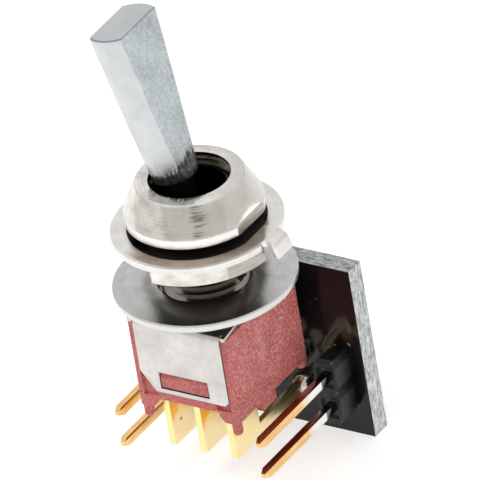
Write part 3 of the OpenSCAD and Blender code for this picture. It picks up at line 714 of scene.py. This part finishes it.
def bevelled_copy(node, width, angle, wide=None):
    """The CAD node's own shape with its sharp edges rounded. wide picks edges that get a broader one."""
    source = frame["nodes"][node]
    mesh = source.data.copy()
    tidy = bmesh.new()
    tidy.from_mesh(mesh)
    bmesh.ops.remove_doubles(tidy, verts=tidy.verts, dist=1e-7)
    bmesh.ops.dissolve_limit(tidy, angle_limit=math.radians(0.5), verts=tidy.verts, edges=tidy.edges)
    weight = tidy.edges.layers.float.new("bevel_weight_edge")
    for edge in tidy.edges:
        if len(edge.link_faces) == 2 and edge.calc_face_angle() > math.radians(angle):
            edge[weight] = 1.0 if wide and wide(edge) else NARROW
    tidy.to_mesh(mesh)
    tidy.free()
    obj = link(bpy.data.objects.new(node + "_shown", mesh))
    obj.matrix_world = source.matrix_world
    bevel = obj.modifiers.new("edges", "BEVEL")
    bevel.width = width / NARROW * MM
    bevel.segments = 3
    bevel.limit_method = "WEIGHT"
    bevel.harden_normals = True
    bevel.use_clamp_overlap = True
    dress(obj, node)
    for face in mesh.polygons:
        face.use_smooth = True
    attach(obj, BODY_OF[node])
    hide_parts(node)


for node, (width, angle) in EDGES.items():
    bevelled_copy(node, width, angle, round_wrench_flat if node == "dress_nut" else None)
for node in SLOTS:
    if node not in EDGES:
        dress(frame["nodes"][node], node)


# ---- Camera, floor and light ----

towards = Vector((
    math.sin(VIEW_AZIMUTH) * math.cos(VIEW_ELEVATION),
    -math.cos(VIEW_AZIMUTH) * math.cos(VIEW_ELEVATION),
    math.sin(VIEW_ELEVATION),
))
camera_data = bpy.data.cameras.new("photo_view")
camera_data.sensor_width = SENSOR_WIDTH
camera_data.lens = SENSOR_WIDTH * VIEW_DISTANCE / FRAME_WIDTH
camera_data.clip_start = 0.01
camera_data.clip_end = 10
camera = link(bpy.data.objects.new("photo_view", camera_data))
camera.matrix_world = (
    Matrix.Translation(VIEW_CENTRE + towards * VIEW_DISTANCE)
    @ towards.to_track_quat("Z", "Y").to_matrix().to_4x4()
    @ Matrix.Rotation(VIEW_ROLL, 4, "Z")
)
bpy.context.scene.camera = camera

# A pale floor just under the board's lower edge: white to the camera, it keeps a faint shadow
FLOOR_REACH = 900 * MM
floor_level = cad_box[0][2] - 0.02 * MM
floor_corners = [
    (x * FLOOR_REACH, y * FLOOR_REACH, floor_level) for x, y in ((-1, -1), (1, -1), (1, 1), (-1, 1))
]
floor_mesh = bpy.data.meshes.new("floor")
floor_mesh.from_pydata(floor_corners, [], [(0, 1, 2, 3)])
floor = link(bpy.data.objects.new("floor", floor_mesh))
paper = Tree("floor_paper")
paper.set(
    Base_Color=paper.ramp(paper.noise(60, 3), (0.4, (0.69, 0.69, 0.69)), (0.6, (0.71, 0.71, 0.71))),
    Roughness=0.9,
    Emission_Color=1,
    Emission_Strength=0.6,
)
floor_mesh.materials.append(paper.material)


def lamp(name, place, target, size, power):
    """A round lamp that lights from place towards target, in millimetres, and that no metal mirrors."""
    data = bpy.data.lights.new(name, "AREA")
    data.shape = "DISK"
    data.size = size * MM
    data.energy = power
    obj = link(bpy.data.objects.new(name, data))
    place, target = Vector(place) * MM, Vector(target) * MM
    facing = (place - target).to_track_quat("Z", "Y").to_matrix().to_4x4()
    obj.matrix_world = Matrix.Translation(place) @ facing
    obj.visible_glossy = False


lamp("key", (-90, -60, 120), (0, 0, 0), 70, 0.10)
lamp("fill", (110, -120, 60), (0, 0, -4), 110, 0.05)

# The world is white to the camera, dimmer as a light, and warm grey towards the ground in mirrors
LIGHT_STRENGTH = 0.62
world = bpy.data.worlds.new("studio")
bpy.context.scene.world = world
world.use_nodes = True
nodes, links = world.node_tree.nodes, world.node_tree.links
nodes.clear()


def background(strength):
    node = nodes.new("ShaderNodeBackground")
    node.inputs["Color"].default_value = (1, 1, 1, 1)
    node.inputs["Strength"].default_value = strength
    return node


def either(factor, first, second):
    """A shader that is first where factor is 0 and second where it is 1."""
    node = nodes.new("ShaderNodeMixShader")
    for socket, value in zip(node.inputs, (factor, first, second)):
        links.new(value, socket)
    return node.outputs[0]


path = nodes.new("ShaderNodeLightPath")
seen = nodes.new("ShaderNodeMath")
seen.operation = "MAXIMUM"
links.new(path.outputs["Is Camera Ray"], seen.inputs[0])
links.new(path.outputs["Is Transmission Ray"], seen.inputs[1])
split = nodes.new("ShaderNodeSeparateXYZ")
links.new(nodes.new("ShaderNodeTexCoord").outputs["Generated"], split.inputs[0])
shade = nodes.new("ShaderNodeValToRGB")
shade.color_ramp.elements[0].color = (0.80, 0.78, 0.76, 1)
shade.color_ramp.elements[1].position = 0.6
links.new(split.outputs["Z"], shade.inputs["Fac"])
mirrored = background(1.0)
links.new(shade.outputs["Color"], mirrored.inputs["Color"])
by_ray = either(path.outputs["Is Glossy Ray"], background(LIGHT_STRENGTH).outputs[0], mirrored.outputs[0])
surface = either(seen.outputs[0], by_ray, background(1.0).outputs[0])
links.new(surface, nodes.new("ShaderNodeOutputWorld").inputs["Surface"])
bpy.context.scene.view_settings.view_transform = "Standard"
